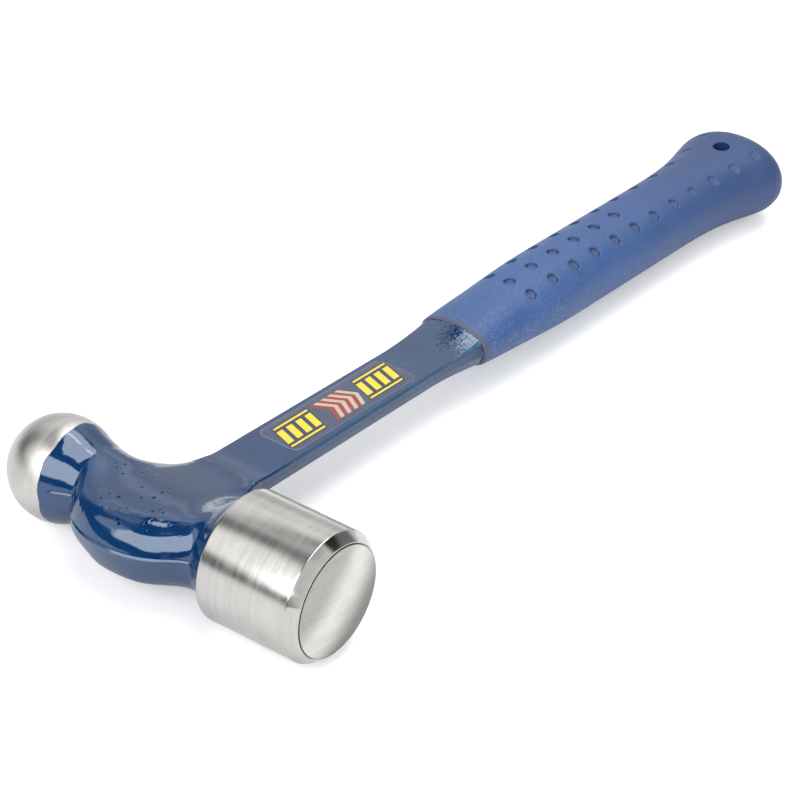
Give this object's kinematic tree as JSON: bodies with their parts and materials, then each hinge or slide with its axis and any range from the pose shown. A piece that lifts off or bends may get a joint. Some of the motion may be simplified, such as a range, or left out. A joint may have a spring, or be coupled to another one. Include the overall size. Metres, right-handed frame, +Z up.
{
  "type": "ball peen hammer",
  "caption": "Ball peen hammer forged in one piece: round striking poll, rounded cheeks, ball end, flat lacquered shank and a dimpled vinyl grip with a hang hole and a film label.",
  "frame": {"origin": "middle of the bounding box's underside; the hammer lies on its side with the plane of head and handle level", "axes": "+X along the handle from the head to the butt, +Y from the handle's axis to the ball, -Y to the striking face, +Z up, square to the plane of head and handle"},
  "size_m": [0.3431, 0.1208, 0.0406],
  "materials": {
    "lacquer": "glossy clear blue lacquer over forged steel",
    "bare_steel": "satin ground steel on the poll and the ball",
    "vinyl": "matt moulded blue vinyl, finely speckled",
    "film": "printed clear film"
  },
  "bodies": {
    "root": {"forged_hammer": "lacquer", "grip": "vinyl", "label": "film"}
  },
  "joints": []
}
